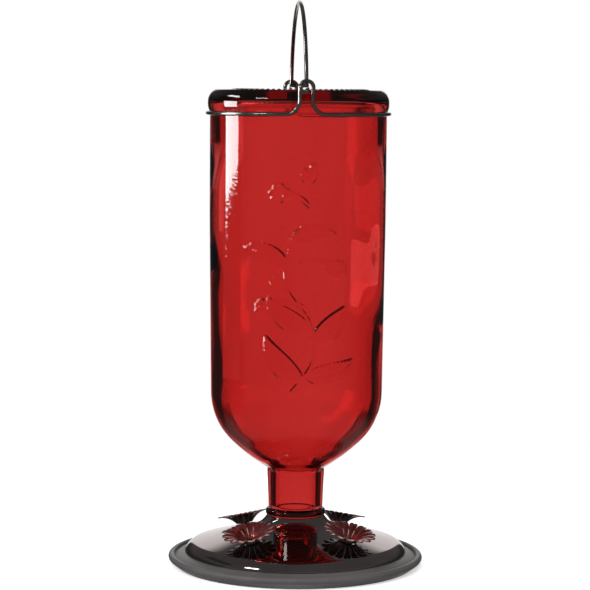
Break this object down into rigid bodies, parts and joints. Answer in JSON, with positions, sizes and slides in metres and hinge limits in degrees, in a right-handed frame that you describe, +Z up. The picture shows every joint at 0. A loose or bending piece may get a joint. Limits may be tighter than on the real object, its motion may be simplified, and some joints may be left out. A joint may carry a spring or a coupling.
{
  "type": "hummingbird feeder",
  "caption": "Hanging nectar feeder: an inverted red glass bottle in a wire bail, screwed into a low round tray under a domed metal cover with trumpet-shaped feeding flowers.",
  "frame": {"origin": "on the bottle's axis, at the height of the surface that the tray's foot stands on", "axes": "+Z up along the bottle's axis; the bail stands in the plane of Y and Z; the flowers lie on the diagonals between X and Y"},
  "size_m": [0.125, 0.125, 0.2758],
  "materials": {
    "red_glass": "clear red glass, polished, with raised work on the front",
    "dark_wire": "black nickel, half gloss",
    "dark_mirror": "black nickel, polished to a mirror",
    "tray_plastic": "dark grey moulded plastic, half gloss",
    "flower_enamel": "dark red lacquer over metal, glossy",
    "eyelet_brass": "bright brass"
  },
  "bodies": {
    "bottle_body": {"bottle": "red_glass", "hanger_ring": "dark_wire"},
    "bail_body": {"bail": "dark_wire"},
    "cover_body": {"cover": "dark_mirror", "flower_1": "flower_enamel", "flower_2": "flower_enamel", "flower_3": "flower_enamel", "flower_4": "flower_enamel", "eyelet_1": "eyelet_brass", "eyelet_2": "eyelet_brass", "eyelet_3": "eyelet_brass", "eyelet_4": "eyelet_brass"},
    "tray_body": {"tray": "tray_plastic"}
  },
  "joints": [
    {"name": "bail_swing", "type": "hinge", "parent": "bottle_body", "child": "bail_body", "pos_m": [0, 0, 0.2349], "axis": [0, 1, 0], "range_deg": [-85, 85]},
    {"name": "base_drop", "type": "slide", "parent": "bottle_body", "child": "cover_body", "axis": [0, 0, -1], "range_m": [0, 0.0085]},
    {"name": "tray_turn", "type": "hinge", "parent": "cover_body", "child": "tray_body", "pos_m": [0, 0, 0], "axis": [0, 0, -1], "range_deg": [0, 720]}
  ],
  "couplings": [
    {"joint": "base_drop", "follows": "tray_turn", "m_per_rad": 0.00067323}
  ]
}
